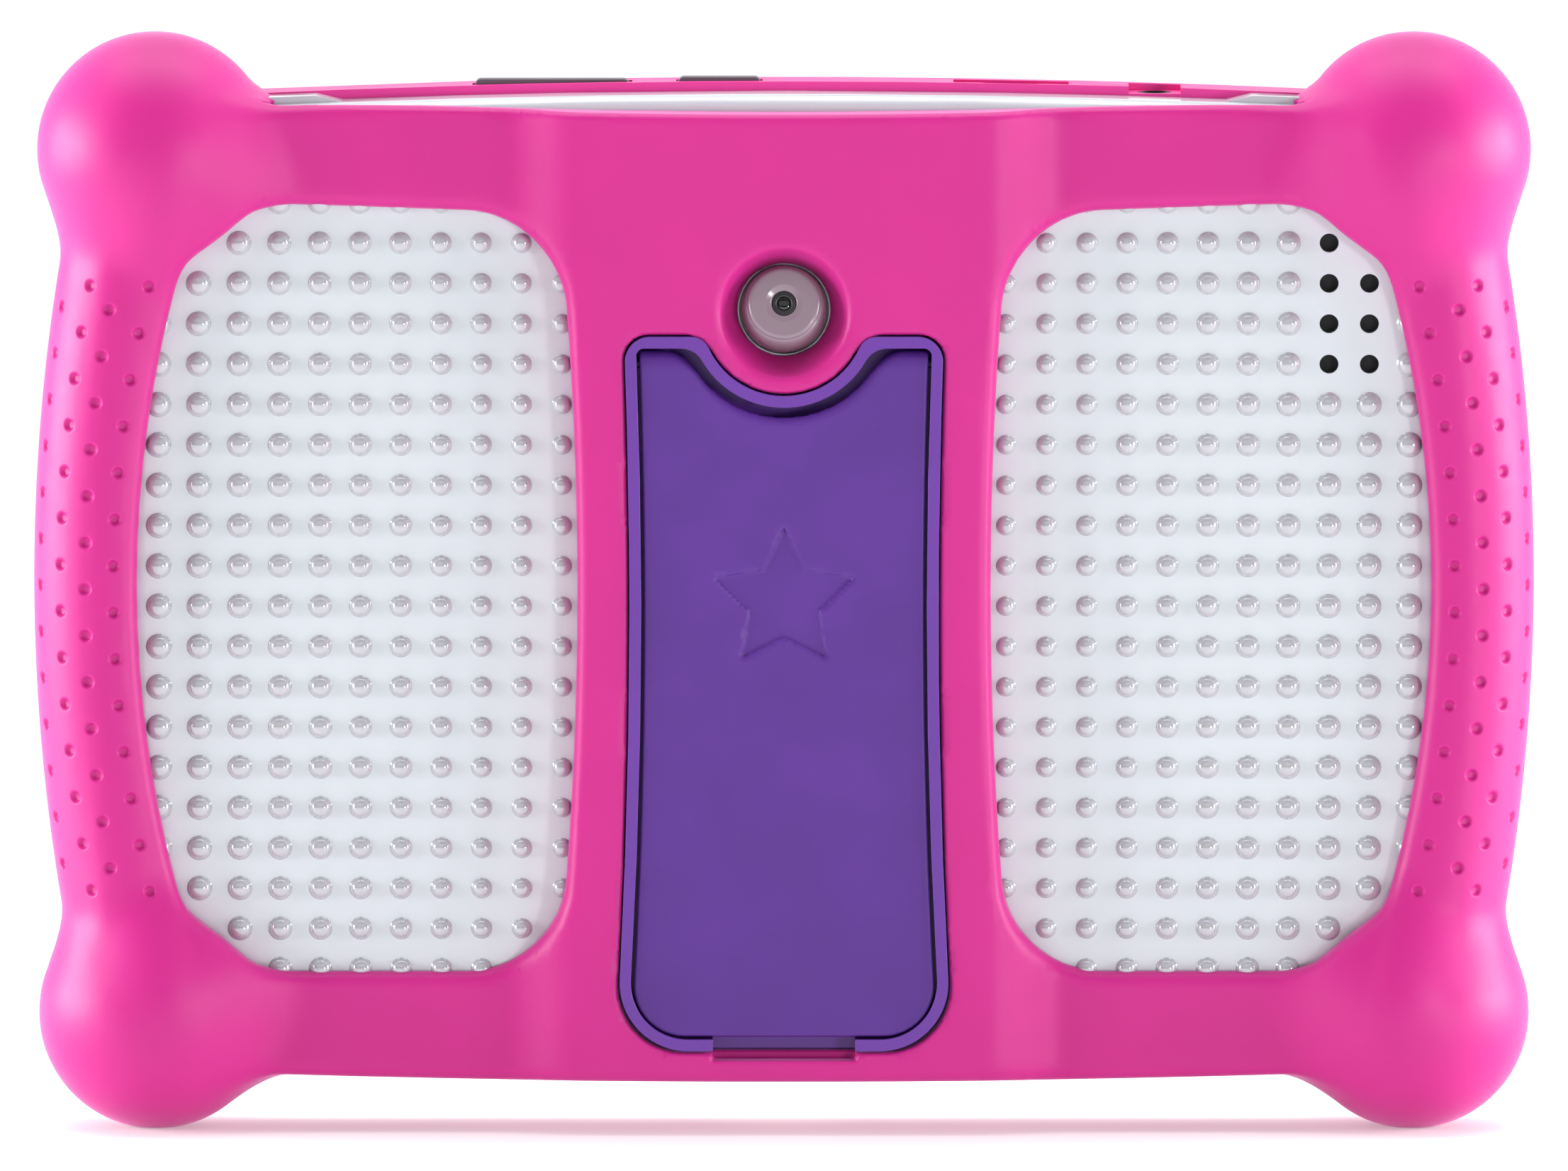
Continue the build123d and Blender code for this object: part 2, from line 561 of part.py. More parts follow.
def headphone_jack():
    """Round-nosed socket: a box body with a blind bore that opens upwards."""
    shoulder_z = ceiling(JACK_X) - 0.7
    body = block((JACK_X - 3.4, JACK_X + 3.4), (BOARD_FRONT, BOARD_FRONT + 5.6), (60.0, shoulder_z))
    body = body + upright(JACK_X, JACK_Y, JACK_NOSE_R, shoulder_z, JACK_MOUTH_Z)
    return body - upright(JACK_X, JACK_Y, JACK_R, JACK_MOUTH_Z - JACK_LENGTH, JACK_MOUTH_Z + 5)


def microphone():
    return block((-2.0, 2.0), (1.5, 2.9), (-70.6, -67.6))


# ---- keys --------------------------------------------------------------------------------
def key_cap(x, half, foot):
    """A key in the top rail with a flange that keeps it in."""
    span = (x - half, x + half)
    cap = block(span, (KEY_Y - KEY_HALF_Y, KEY_Y + KEY_HALF_Y), (foot, rail_top(x) + KEY_PROUD))
    cap = fillet(cap.edges().filter_by(Axis.Y).group_by(Axis.Z)[-1], 0.9)
    rim_span = (span[0] - KEY_RIM, span[1] + KEY_RIM)
    return cap + block(rim_span, (KEY_Y - 1.9, KEY_Y + 1.9), (foot, foot + FLANGE_T))


def power_button():
    return key_cap(POWER_X, POWER_HALF, POWER_FOOT)


def volume_rocker():
    return key_cap(ROCKER_X, ROCKER_HALF, ROCKER_FOOT)


def top_switch(x, foot, bore_r):
    """Tact switch on the board's edge, bored for its plunger."""
    heights = (foot - 3.8, foot - SWITCH_TRAVEL - 0.2)
    housing = block((x - 2.2, x + 2.2), (BOARD_FRONT, BOARD_FRONT + 4.2), heights)
    return housing - upright(x, KEY_Y, bore_r, foot - 3.0, foot)


def top_plunger(x, foot):
    return upright(x, KEY_Y, 0.8, foot - 2.0, foot)


def power_switch():
    return top_switch(POWER_X, POWER_FOOT, 0.9)


def power_plunger():
    return top_plunger(POWER_X, POWER_FOOT)


def volume_switches():
    return sum_of(top_switch(ROCKER_X + s * ROCKER_SWITCH, ROCKER_FOOT, 1.05) for s in (-1, 1))


def volume_plungers():
    return sum_of(top_plunger(ROCKER_X + s * ROCKER_SWITCH, ROCKER_FOOT) for s in (-1, 1))


def home_button():
    """Round key in the bezel's face with a flange behind it and a dished top."""
    cap = disc(0, HOME_Z, HOME_R, 5.2, FRONT_Y + HOME_PROUD)
    cap = fillet(cap.edges().group_by(Axis.Y)[-1], 0.5)
    dish = Pos(0, FRONT_Y + HOME_PROUD + 19.6, HOME_Z) * Sphere(20.0)
    return cap - dish + disc(0, HOME_Z, HOME_R + 1.0, 5.2, 6.1)


def home_switch():
    body = block((-3.0, 3.0), (1.5, 4.3), (HOME_Z - 3.0, HOME_Z + 3.0))
    return body - disc(0, HOME_Z, 1.3, 2.2, 6)


def home_plunger():
    return disc(0, HOME_Z, 1.2, 3.0, 5.2)


def home_key_board():
    return block((-14.0, 14.0), (0.5, 1.5), (-70.6, -53.0))


def home_ribbon():
    """Flat cable from the key board up behind the chassis to the main board."""
    return block((-3.0, 3.0), (BOARD_FRONT, 0.5), (-58.0, 24.0))


def case_screw(x, z):
    """A cross-head screw."""
    head_front = COVER_BACK + SCREW_HEAD_T
    head = disc(x, z, SCREW_HEAD_R, COVER_BACK + 0.2, head_front)
    cross = block((x - 1.2, x + 1.2), (-9, COVER_BACK + 0.9), (z - 0.25, z + 0.25))
    cross = cross + block((x - 0.25, x + 0.25), (-9, COVER_BACK + 0.9), (z - 1.2, z + 1.2))
    return head - cross + disc(x, z, SCREW_R, head_front, head_front + SCREW_LENGTH)


def case_screws():
    return sum_of(case_screw(x, z) for x, z in SCREW_SPOTS)


PIECES = [
    bumper, stand_frame, stand_leg, stand_pins, rear_cover, camera_barrel, front_bezel,
    touch_lens, lcd_panel, backlight_tray, chassis, lcd_ribbon,
    main_board, board_shields, board_chips, board_screws, battery, battery_lead,
    speaker, speaker_gasket, speaker_mesh, speaker_leads,
    rear_camera, rear_camera_lens, front_camera, front_camera_window, wifi_antenna,
    usb_port, headphone_jack, microphone,
    power_button, power_switch, power_plunger,
    volume_rocker, volume_switches, volume_plungers,
    home_button, home_switch, home_plunger, home_key_board, home_ribbon, case_screws,
]

os.makedirs("parts", exist_ok=True)
for piece in PIECES:
    export_step(Pos(0, 0, MID_Z) * piece(), f"parts/{piece.__name__}.step")
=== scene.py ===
"""Looks of a kids toy tablet in a silicone bumper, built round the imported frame.

Shapes are worked out in millimetres about the tablet's middle, with x to the right seen from
the back, y from the back to the screen and z up. They become metres above the floor when a
mesh is made.
"""

import json
from math import cos, pi, radians, sin, sqrt

import bmesh
import bpy
import numpy as np
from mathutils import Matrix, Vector


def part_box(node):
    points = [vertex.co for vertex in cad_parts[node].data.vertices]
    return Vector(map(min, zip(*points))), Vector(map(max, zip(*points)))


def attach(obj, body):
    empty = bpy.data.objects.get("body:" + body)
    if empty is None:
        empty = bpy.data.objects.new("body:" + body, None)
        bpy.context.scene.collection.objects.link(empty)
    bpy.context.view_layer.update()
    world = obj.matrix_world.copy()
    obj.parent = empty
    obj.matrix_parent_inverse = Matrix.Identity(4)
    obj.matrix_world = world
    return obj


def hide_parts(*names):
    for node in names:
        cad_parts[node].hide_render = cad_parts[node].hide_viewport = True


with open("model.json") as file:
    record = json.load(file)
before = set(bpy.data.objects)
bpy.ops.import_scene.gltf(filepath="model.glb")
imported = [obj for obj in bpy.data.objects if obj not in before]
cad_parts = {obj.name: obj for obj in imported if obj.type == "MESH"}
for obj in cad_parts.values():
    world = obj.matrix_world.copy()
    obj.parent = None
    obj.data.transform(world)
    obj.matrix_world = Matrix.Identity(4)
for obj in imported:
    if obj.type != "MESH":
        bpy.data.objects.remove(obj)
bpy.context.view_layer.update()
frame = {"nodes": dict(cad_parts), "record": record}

MM = 0.001
GLASS_MIDDLE = 1.0                           # the glass's middle is this far above the tablet's
lens_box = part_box("touch_lens")
MID_Z = (lens_box[0].z + lens_box[1].z) / 2 / MM - GLASS_MIDDLE    # above the floor

# ---- driving dimensions in millimetres, most of them as in the CAD -----------------------
BALL_X, BALL_Z, BALL_R = 96.4, 66.5, 18.05
PAD_Y, BEAM_Y, LIP_Y = -14.5, -10.5, 10.5
PAD_HALF, PAD_FOOT_HALF, PAD_FLANK_COS = 31.3, 43.0, 0.95
COVER_BACK, SPLIT_Y, FRONT_Y = -8.0, 0.0, 8.0
CAMERA_Z, CAMERA_TILT = 42.6, 15.0
BARREL_FACE_Y = -13.9
GRIP_X, GRIP_HALF, GRIP_DEPTH, GRIP_Y, GRIP_SWEEP = 104.0, 11.05, 12.0, -1.0, 289.75
STAND_TOP, STAND_LOW = 39.0, -71.0
STAND_HALF, STAND_SLANT, STAND_FLARE, STAND_WAIST_Z = 23.72, 0.01227, 0.0004645, -16.0
STAND_THROAT_R, STAND_CLEARANCE = 12.7, 0.28
LEG_INSET, LEG_THROAT_R, LEG_RELIEF = 2.22, 15.8, 0.8
LEG_Y, LEG_INNER_Y, LEG_FLOOR_Y, LEG_LIP = -14.2, -9.4, -12.0, 0.9
LEG_WALL, LEG_EDGE, LEG_ROLL = 2.0, 0.4, 1.5
RIB_LOWS, RIB_HALF, RIB_REACH = (-50.0, -28.0, 16.0), 0.7, 21.0
HINGE_Y, HINGE_Z, HINGE_R, BORE_R, BORE_START = -12.2, 34.78, 2.0, 0.85, 17.0
HOLLOW_Y = -6.0                              # the openings in the bumper's back end here
OPEN_TOP_HALF, OPEN_TOP_CROWN, OPEN_TOP_END = 79.0, 73.0, 75.2
CONE_R, CONE_SLOPE, CONE_COS = 2.95, 0.4875, 0.899   # the camera hole's radius is R - SLOPE * y
SLOT_HALF, SLOT_Z, SLOT_HALF_Z, SLOT_FLOOR_Y = 10.9, -70.5, 2.0, -10.8
NOTCH_HALF, NOTCH_TOP, NOTCH_Y = 6.0, -74.3, 1.0
SCREEN_HALF_X, SCREEN_HALF_Z, SCREEN_CORNER, SCREEN_Y = 95.0, 66.5, 14.0, 6.0
DOME_X, DOME_Z = 6.18, 6.21
SPEAKER_HOLES = {13: (5, 6, 7, 8), 14: (5, 6, 7)}     # rows without a dome, by column
# of each column of dimples: its x at the middle, its bend at BEND_Z, and its shift in rows
DIMPLE_COLUMNS = ((102.7, 5.2, 0.5), (107.0, 4.2, 0.0), (110.8, 4.4, 0.5), (114.0, 3.7, 0.0))
DIMPLE_STEP, BEND_Z = 7.16, 45.0


# ---- fields: negative inside a shape, positive outside -----------------------------------
def length(*parts):
    """Length of a vector, or of each of many."""
    return np.sqrt(sum(p * p for p in parts))


def join(a, b, r):
    """Union of two fields with a round fillet between them."""
    return np.maximum(r, np.minimum(a, b)) - length(np.maximum(r - a, 0), np.maximum(r - b, 0))


def meet(a, b, r):
    """Intersection of two fields with a rounded edge."""
    return np.minimum(-r, np.maximum(a, b)) + length(np.maximum(r + a, 0), np.maximum(r + b, 0))


def cut(a, b, r):
    """Field a without field b, with a rounded edge."""
    return meet(a, -b, r)


def smooth(t):
    """Eases from 0 to 1."""
    t = np.clip(t, 0, 1)
    return t * t * (3 - 2 * t)


def bowed(u, v, crown, half, end):
    """Distance past an arc through (0, crown) and (+-half, end)."""
    sag = crown - end
    radius = (half ** 2 + sag ** 2) / (2 * sag)
    return np.sign(radius) * (length(u, v - crown + radius) - abs(radius))


def arched(x, z, half, half_end, top, top_end, low, low_end, r):
    """A four-sided outline whose sides bow outwards, with round corners."""
    middle, reach = (top_end + low_end) / 2, (top_end - low_end) / 2
    sides = bowed(z - middle, np.abs(x), half, reach, half_end)
    ends = np.maximum(bowed(x, z, top, half_end, top_end), bowed(x, -z, -low, half_end, -low_end))
    return meet(sides, ends, r)


def tablet(x, z, inset=0.0):
    """Outline of the tablet inside the bumper."""
    return arched(x, z, 103.5, 100.3, 76.9, 74.1, -74.3, -72.2, 18.0) + inset


def window(x, z):
    """Outline of the bumper's windows, which give way to the balls at their outer corners."""
    ax = np.abs(x)
    inner = bowed(z, -ax, -31.65, 58.5, -34.6)
    outer = bowed(z, ax, 99.1, 45.0, 93.4)
    top = z - 58.0 - 0.035 * (ax - 52.0)
    low = -z - 59.3
    outline = meet(meet(inner, np.maximum(top, low), 14.0), outer, 13.5)
    return cut(outline, length(ax - BALL_X, np.abs(z) - BALL_Z) - 16.0, 2.0)


def stand_side(x, z):
    """Distance past the tray's long sides, which flare towards both ends."""
    t = z - STAND_WAIST_Z
    return np.abs(x) - (STAND_HALF - STAND_SLANT * t + STAND_FLARE * t * t)


def stand(x, z):
    """Outline of the stand's tray."""
    outline = meet(meet(stand_side(x, z), z - STAND_TOP, 3.8), STAND_LOW - z, 10.5)
    return cut(outline, length(x, z - CAMERA_Z) - STAND_THROAT_R, 2.8)


def star(x, z, outer=10.5, inner=5.3, middle=-1.5):
    """A plain five-pointed star."""
    z = z - middle
    turn = np.arctan2(x, z) % (2 * pi / 5)
    turn = np.minimum(turn, 2 * pi / 5 - turn)
    reach = length(x, z)
    u, v = reach * np.cos(turn), reach * np.sin(turn)
    dent = (inner * cos(pi / 5), inner * sin(pi / 5))
    along = (dent[0] - outer, dent[1])
    size = sqrt(along[0] ** 2 + along[1] ** 2)
    return ((u - outer) * -along[1] + v * along[0]) / -size


def leg_field(x, y, z):
    """The stand's leg: a hollow flap whose top edge rolls over the hinge."""
    side = meet(stand_side(x, z) + LEG_INSET, STAND_LOW + LEG_INSET - z, 8.3)
    throat = length(x, z - CAMERA_Z) - LEG_THROAT_R
    upper = meet(z - HINGE_Z - HINGE_R, -throat, 3.9)
    outline = meet(side, upper, 0.8)
    edge = LEG_EDGE + (LEG_ROLL - LEG_EDGE) * smooth((upper - side) / 3.0 + 0.5)
    body = meet(outline, LEG_Y - y, edge)
    barrel = length(y - HINGE_Y, z - HINGE_Z) - HINGE_R
    body = meet(body, join(np.maximum(y - LEG_INNER_Y, z - HINGE_Z), barrel, 0.3), 0.3)
    body = cut(body, np.maximum(throat - LEG_RELIEF, LEG_Y + LEG_LIP - y), 0.2)
    pocket_top = z - HINGE_Z + HINGE_R + 0.48
    pocket = np.maximum(np.maximum(outline + LEG_WALL, LEG_FLOOR_Y - y), pocket_top)
    body = cut(body, pocket, 0.3)
    for low in RIB_LOWS:
        rib = np.maximum(np.abs(z - low - RIB_HALF) - RIB_HALF, np.abs(x) - RIB_REACH)
        rib = np.maximum(rib, np.maximum(LEG_Y + 1.0 - y, y - LEG_INNER_Y + 0.4))
        body = join(body, rib, 0.3)
    bore = np.maximum(length(y - HINGE_Y, z - HINGE_Z) - BORE_R, BORE_START - np.abs(x))
    body = cut(body, bore, 0.1)
    return cut(body, np.maximum(star(x, z) - 0.3, y - LEG_Y - 0.4), 0.18)


def bumper_field(x, y, z):
    """The silicone bumper."""
    ax, az = np.abs(x), np.abs(z)
    slope = 0.105 * (y - BEAM_Y)                 # the lower wall gets deeper towards the front
    outline = np.maximum(
        arched(x, z, 106.0, 102.5, 75.5, 72.7, -82.0, -80.0, 20.0),
        bowed(x, -z - slope, 76.2, 102.5, 74.2),
    )
    fall = smooth((ax - PAD_HALF) / (PAD_FOOT_HALF - PAD_HALF))
    back = (PAD_Y + (BEAM_Y - PAD_Y) * fall - y) * PAD_FLANK_COS
    body = meet(outline, np.maximum(back, y - LIP_Y), 1.9)
    top_rail = bowed(x, z, OPEN_TOP_CROWN, OPEN_TOP_HALF, OPEN_TOP_END)
    body = cut(body, np.maximum(-top_rail, y - FRONT_Y), 1.2)

    # k0 * (k0 - 1) / k1 is close to the distance past the grip's elliptical section
    u = length(ax - GRIP_X + GRIP_SWEEP, z) - GRIP_SWEEP
    k0 = length(u / GRIP_HALF, (y - GRIP_Y) / GRIP_DEPTH)
    k1 = length(u / GRIP_HALF ** 2, (y - GRIP_Y) / GRIP_DEPTH ** 2)
    grip = np.maximum(k0 * (k0 - 1) / np.maximum(k1, 1e-6), az - BALL_Z)
    body = join(body, grip, 3.0)

    ball = length(ax - BALL_X, y, az - BALL_Z) - BALL_R
    fillet = 9.0 - 4.5 * smooth((ax - 93.0) / 12.0)      # tighter outwards, upwards and downwards
    fillet = fillet * (1 - 0.45 * smooth((az - 58.0) / 17.0))
    body = join(body, ball, fillet)

    body = cut(body, np.maximum(window(x, z), y - HOLLOW_Y), 2.0)
    cone = (length(x, z - CAMERA_Z) - (CONE_R - CONE_SLOPE * y)) * CONE_COS
    body = cut(body, np.maximum(cone, y - HOLLOW_Y), 0.7)
    body = cut(body, np.maximum(stand(x, z) - STAND_CLEARANCE, y - HOLLOW_Y), 0.3)
    slot = np.maximum(np.abs(z - SLOT_Z) - SLOT_HALF_Z, y - SLOT_FLOOR_Y)
    body = cut(body, np.maximum(ax - SLOT_HALF, slot), 0.35)
    notch = np.maximum(np.maximum(ax - NOTCH_HALF, z - NOTCH_TOP), NOTCH_Y - y)
    body = cut(body, notch, 0.5)

    cover = np.maximum(tablet(x, z, 1.35), np.maximum(COVER_BACK - y, y - SPLIT_Y))
    bezel = np.maximum(tablet(x, z, -0.05), np.maximum(-0.5 - y, y - FRONT_Y))
    body = np.maximum(body, -np.minimum(cover, bezel))
    lip = meet(ax - SCREEN_HALF_X, az - SCREEN_HALF_Z, SCREEN_CORNER)
    body = cut(body, np.maximum(lip, SCREEN_Y - y), 0.9)
    return np.maximum(body, -z - MID_Z)          # flat where the balls stand on the floor


# ---- meshes from fields ------------------------------------------------------------------
def gradient(field, points, step=0.02):
    """Slope of a field at many points."""
    parts = []
    for axis in range(3):
        shift = np.zeros(3)
        shift[axis] = step
        ahead, behind = points + shift, points - shift
        parts.append((field(*ahead.T) - field(*behind.T)) / (2 * step))
    return np.stack(parts, 1)


def settle(field, points, rounds=4):
    """Moves points onto the surface of a field."""
    for _ in range(rounds):
        slope = gradient(field, points)
        value = field(*points.T)
        move = value / np.maximum((slope ** 2).sum(1), 0.2)
        points = points - np.clip(move, -0.7, 0.7)[:, None] * slope
    return points


def net(field, low, high, step):
    """A mesh of quads, one point for each cell that the surface passes through."""
    axes = [np.arange(a, b + step, step) for a, b in zip(low, high)]
    grid = np.meshgrid(*axes, indexing="ij", sparse=True)
    value = np.broadcast_to(field(*grid), [len(a) for a in axes])
    inside = value < 0
    shape = np.array(value.shape) - 1
    corners = [(i, j, k) for i in (0, 1) for j in (0, 1) for k in (0, 1)]
    count = sum(
        inside[i:i + shape[0], j:j + shape[1], k:k + shape[2]].astype(np.int8)
        for i, j, k in corners
    )
    cells = np.argwhere((count > 0) & (count < 8))
    number = np.full(shape, -1)
    number[tuple(cells.T)] = np.arange(len(cells))
    total, hits = np.zeros((len(cells), 3)), np.zeros(len(cells))
    for a in corners:
        for axis in range(3):
            if a[axis]:
                continue
            b = np.array(a)
            b[axis] = 1
            va, vb = value[tuple((cells + a).T)], value[tuple((cells + b).T)]
            crossed = (va < 0) != (vb < 0)
            share = np.where(crossed, va / np.where(crossed, va - vb, 1), 0)
            spot = cells + np.array(a, float)
            spot[:, axis] += share
            total += spot * crossed[:, None]
            hits += crossed
    points = total / hits[:, None] * step + np.array(low)
    faces = []
    for axis in range(3):
        u, v = (axis + 1) % 3, (axis + 2) % 3
        ahead = np.roll(inside, -1, axis)
        changed = inside != ahead
        index = np.argwhere(changed)
        keep = (index[:, axis] < shape[axis]) & (index[:, u] > 0) & (index[:, v] > 0)
        keep &= (index[:, u] < shape[u]) & (index[:, v] < shape[v])
        index = index[keep]
        ring = []
        for du, dv in ((1, 1), (0, 1), (0, 0), (1, 0)):
            cell = index.copy()
            cell[:, u] -= du
            cell[:, v] -= dv
            ring.append(number[tuple(cell.T)])
        quad = np.stack(ring, 1)
        outward = inside[tuple(index.T)]
        quad[~outward] = quad[~outward][:, ::-1]
        faces.append(quad)
    return points, np.concatenate(faces)


def refine(bm, field, angle, shortest):
    """Divides the edges that turn by more than an angle, and settles the new points."""
    normals = point_normals(bm, field)
    limit = cos(radians(angle))
    edges = []
    for e in bm.edges:
        a, b = e.verts
        if (a.co - b.co).length > shortest and normals[a.index].dot(normals[b.index]) < limit:
            edges.append(e)
    divide(bm, field, edges)


def divide(bm, field, edges):
    """Divides edges in two, with the new points on the surface of the field."""
    before = len(bm.verts)
    bmesh.ops.subdivide_edges(bm, edges=edges, cuts=1, use_grid_fill=True)
    bm.verts.ensure_lookup_table()
    bm.verts.index_update()
    fresh = list(bm.verts)[before:]
    if fresh:
        places = settle(field, np.array([v.co for v in fresh]), 3)
        for v, place in zip(fresh, places):
            v.co = place


def point_normals(bm, field):
    """Outward direction at every point of a mesh."""
    bm.verts.index_update()
    slope = gradient(field, np.array([v.co for v in bm.verts]))
    slope = slope / np.maximum(length(*slope.T), 1e-9)[:, None]
    return [Vector(n) for n in slope]


# ---- objects -----------------------------------------------------------------------------
def to_metres(points):
    """From millimetres about the tablet's middle to metres above the floor."""
    points = np.asarray(points, float) * MM
    points[:, 2] += MID_Z * MM
    return points


def new_object(name, mesh, shader, body, replaces):
    """A piece that rides on a body and stands for the CAD nodes in replaces, if any."""
    obj = bpy.data.objects.new(name, mesh)
    bpy.context.scene.collection.objects.link(obj)
    mesh.materials.append(shader.material)
    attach(obj, body)
    if replaces:
        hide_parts(*replaces)
    return obj


# ---- materials ---------------------------------------------------------------------------
class Shader:
    """A material with one Principled shader, and short ways to add detail to it."""

    def __init__(self, name, colour, roughness, **settings):
        self.material = bpy.data.materials.new(name)
        self.material.use_nodes = True
        self.tree = self.material.node_tree
        self.main = self.tree.nodes["Principled BSDF"]
        self.main.inputs["Base Color"].default_value = (*colour, 1)
        self.main.inputs["Roughness"].default_value = roughness
        for key, value in settings.items():
            self.main.inputs[key.replace("_", " ")].default_value = value

    def node(self, kind, **values):
        """A new node with its settings and socket values."""
        node = self.tree.nodes.new(kind)
        for key, value in values.items():
            if hasattr(node, key):
                setattr(node, key, value)
            else:
                node.inputs[key].default_value = value
        return node

    def link(self, a, b):
        self.tree.links.new(a, b)

    def place(self):
        """Coordinates in metres in the piece's own space."""
        return self.node("ShaderNodeTexCoord").outputs["Object"]

    def noise(self, scale, detail=2.0):
        noise = self.node("ShaderNodeTexNoise", Scale=scale, Detail=detail)
        self.link(self.place(), noise.inputs["Vector"])
        return noise.outputs["Fac"]

    def bump(self, source, strength, distance):
        """Adds fine relief to the surface."""
        bump = self.node("ShaderNodeBump", Strength=strength, Distance=distance)
        self.link(source, bump.inputs["Height"])
        self.link(bump.outputs["Normal"], self.main.inputs["Normal"])

    def vary_colour(self, source, first, second):
        """Blends between two colours by the middle range of a noise."""
        ramp = self.node("ShaderNodeValToRGB")
        ramp.color_ramp.elements[0].position = 0.35
        ramp.color_ramp.elements[1].position = 0.65
        ramp.color_ramp.elements[0].color = (*first, 1)
        ramp.color_ramp.elements[1].color = (*second, 1)
        self.link(source, ramp.inputs["Fac"])
        self.link(ramp.outputs["Color"], self.main.inputs["Base Color"])

    def vary_roughness(self, source, low, high):
        """Spreads the roughness between two values."""
        span = self.node("ShaderNodeMapRange")
        span.inputs["To Min"].default_value = low
        span.inputs["To Max"].default_value = high
        self.link(source, span.inputs["Value"])
        self.link(span.outputs["Result"], self.main.inputs["Roughness"])


def grained(
    name, colour, roughness, grain=2500.0, depth=0.00003, strength=0.3, spread=0.06, **settings,
):
    """Moulded plastic or rubber with a fine surface grain and slight unevenness of tone."""
    shader = Shader(name, colour, roughness, **settings)
    darker = tuple(c * (1 - spread) for c in colour)
    lighter = tuple(min(c * (1 + spread), 1) for c in colour)
    shader.vary_colour(shader.noise(60.0), darker, lighter)
    shader.vary_roughness(shader.noise(300.0), roughness * 0.9, roughness * 1.1)
    shader.bump(shader.noise(grain, 3.0), strength, depth)
    return shader


def make_materials():
    """One shader for each material slot of the CAD, and two that only the looks need."""
    made = {}
    silicone = grained(
        "silicone_pink", (0.52, 0.011, 0.212), 0.46, grain=3200.0, depth=0.00002, strength=0.25,
        spread=0.02, Subsurface_Weight=0.12, Subsurface_Scale=0.003, Sheen_Weight=0.3,
        Sheen_Roughness=0.35,
    )
    silicone.main.inputs["Specular IOR Level"].default_value = 0.38
    silicone.main.inputs["Subsurface Radius"].default_value = (1.0, 0.3, 0.6)
    silicone.main.inputs["Sheen Tint"].default_value = (1.0, 0.55, 0.95, 1)
    made["silicone_pink"] = silicone
    made["stand_frame_purple"] = grained(
        "stand_frame_purple", (0.118, 0.030, 0.285), 0.3, strength=0.15, spread=0.03,
        Specular_IOR_Level=0.4,
    )
    made["stand_leg_purple"] = grained(
        "stand_leg_purple", (0.084, 0.021, 0.225), 0.42, grain=2200.0, strength=0.7, spread=0.06,
        Specular_IOR_Level=0.35,
    )
    # painted shade: the hinge pins are made near-black so that they read as the shaded gap between
    # leg and tray rim
    made["pin_painted_shade"] = grained("pin_painted_shade", (0.03, 0.03, 0.035), 0.45, Metallic=1.0)
    made["cover_white"] = grained(
        "cover_white", (0.57, 0.605, 0.65), 0.14, grain=900.0, strength=0.05, spread=0.01,
        Coat_Weight=0.4, Coat_Roughness=0.06,
    )
    made["dome_gloss"] = grained(
        "dome_gloss", (0.40, 0.405, 0.45), 0.05, grain=900.0, strength=0.02, spread=0.01, IOR=1.75,
        Coat_Weight=1.0, Coat_IOR=1.8, Coat_Roughness=0.03,
    )
    made["barrel_white"] = grained(
        "barrel_white", (0.24, 0.172, 0.215), 0.26, grain=1500.0, strength=0.1, Coat_Weight=0.3,
        Coat_Roughness=0.12,
    )
    made["bezel_pink"] = grained("bezel_pink", (0.82, 0.035, 0.31), 0.4, spread=0.03)
    made["lens_glass"] = Shader("lens_glass", (0.006, 0.006, 0.008), 0.06, IOR=1.4)
    made["screen_dark"] = grained("screen_dark", (0.012, 0.013, 0.017), 0.12, strength=0.05)
    made["tray_white"] = grained("tray_white", (0.78, 0.78, 0.78), 0.5)
    made["chassis_metal"] = grained(
        "chassis_metal", (0.58, 0.59, 0.61), 0.35, grain=1200.0, Metallic=1.0,
    )
    made["ribbon_amber"] = grained("ribbon_amber", (0.50, 0.22, 0.04), 0.35, strength=0.1)
    made["board_green"] = grained("board_green", (0.02, 0.16, 0.06), 0.3, grain=400.0)
    made["shield_tin"] = grained("shield_tin", (0.66, 0.66, 0.66), 0.25, Metallic=1.0)
    made["steel"] = grained("steel", (0.62, 0.62, 0.63), 0.3, Metallic=1.0)
    made["chip_black"] = grained("chip_black", (0.02, 0.02, 0.022), 0.5)
    made["battery_foil"] = grained(
        "battery_foil", (0.55, 0.55, 0.57), 0.32, grain=300.0, Metallic=0.8,
    )
    made["wire_red"] = grained("wire_red", (0.45, 0.02, 0.02), 0.4)
    made["part_black"] = grained("part_black", (0.02, 0.02, 0.022), 0.45)
    made["foam_black"] = grained("foam_black", (0.03, 0.03, 0.03), 0.9, grain=1500.0, strength=0.8)
    made["mesh_black"] = grained("mesh_black", (0.01, 0.01, 0.012), 0.8, grain=4000.0, strength=1.0)
    made["camera_glass"] = Shader(
        "camera_glass", (0.004, 0.004, 0.005), 0.06, Coat_Weight=1.0, Coat_Roughness=0.02,
    )
    made["key_grey"] = grained("key_grey", (0.095, 0.075, 0.095), 0.4)
    made["plunger_white"] = grained("plunger_white", (0.7, 0.7, 0.68), 0.4)
    made["home_key"] = grained("home_key", (0.170, 0.052, 0.365), 0.22, strength=0.1)
    return made


shaders = make_materials()


# ---- CAD nodes with softened edges -------------------------------------------------------
SHARP = 32.0                                 # degrees between faces that makes a sharp edge
slot_of = {s["node"]: s["material_slot"] for s in frame["record"]["subparts"]}
body_of = {n: b for b, nodes in frame["record"]["behaviour"]["bodies"].items() for n in nodes}


